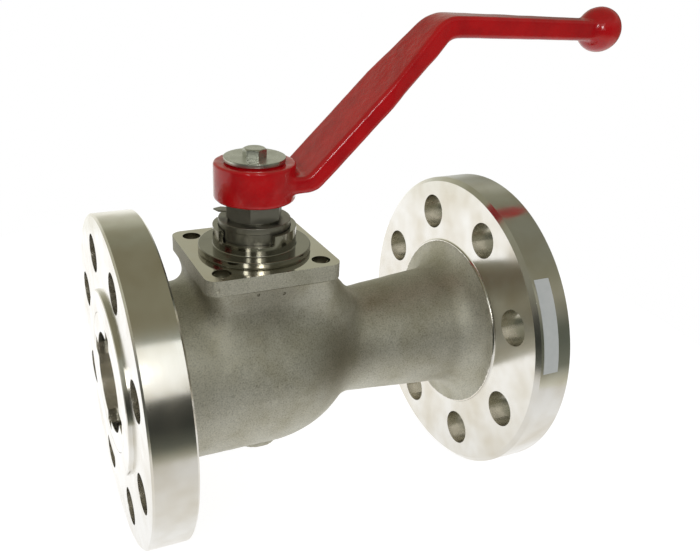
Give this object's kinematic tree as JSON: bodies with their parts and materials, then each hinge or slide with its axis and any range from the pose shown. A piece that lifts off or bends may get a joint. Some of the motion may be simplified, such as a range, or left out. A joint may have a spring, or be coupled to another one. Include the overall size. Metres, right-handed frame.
{
  "type": "flanged ball valve",
  "caption": "Flanged quarter-turn ball valve with an end-entry cast body, an actuator pad and a bent, ball-ended lever.",
  "frame": {"origin": "centre of the inlet port in the inlet flange's raised face", "axes": "+X along the pipe from the inlet flange to the outlet flange, +Z along the stem towards the lever, +Y completes the right hand"},
  "size_m": [0.2791, 0.165, 0.253],
  "materials": {
    "cast_stainless": "shot-blasted casting, bright turned where it is machined",
    "turned_stainless": "fine turned",
    "polished_stainless": "mirror polished",
    "spring_steel": "ground",
    "dark_steel": "dark oiled",
    "washer_steel": "pressed sheet",
    "bolt_steel": "plain stainless",
    "red_enamel": "glossy red enamel over a casting",
    "ptfe": "smooth white",
    "graphite": "dark grey",
    "rubber": "matt black",
    "label": "pale grey film"
  },
  "bodies": {
    "casting": {"body": "cast_stainless", "body_insert": "turned_stainless", "body_gasket": "ptfe", "insert_o_ring": "rubber", "seat_ring_inlet": "ptfe", "seat_ring_outlet": "ptfe", "stem_thrust_washer": "ptfe", "packing_graphite_ring": "graphite", "packing_rings": "ptfe", "gland_follower": "turned_stainless", "rim_label": "label"},
    "rotor": {"ball": "polished_stainless", "stem": "turned_stainless", "stem_o_ring": "rubber", "antistatic_balls": "turned_stainless", "antistatic_springs": "spring_steel", "disc_springs": "spring_steel", "stop_collar": "dark_steel", "pressure_disc": "dark_steel", "tab_washer": "washer_steel", "gland_nut": "dark_steel", "lever": "red_enamel", "lever_washer": "bolt_steel", "lever_bolt": "bolt_steel"}
  },
  "joints": [
    {"name": "stem_turn", "type": "hinge", "parent": "casting", "child": "rotor", "pos_m": [0.076, 0, 0], "axis": [0, 0, 1], "range_deg": [-90, 0]}
  ]
}
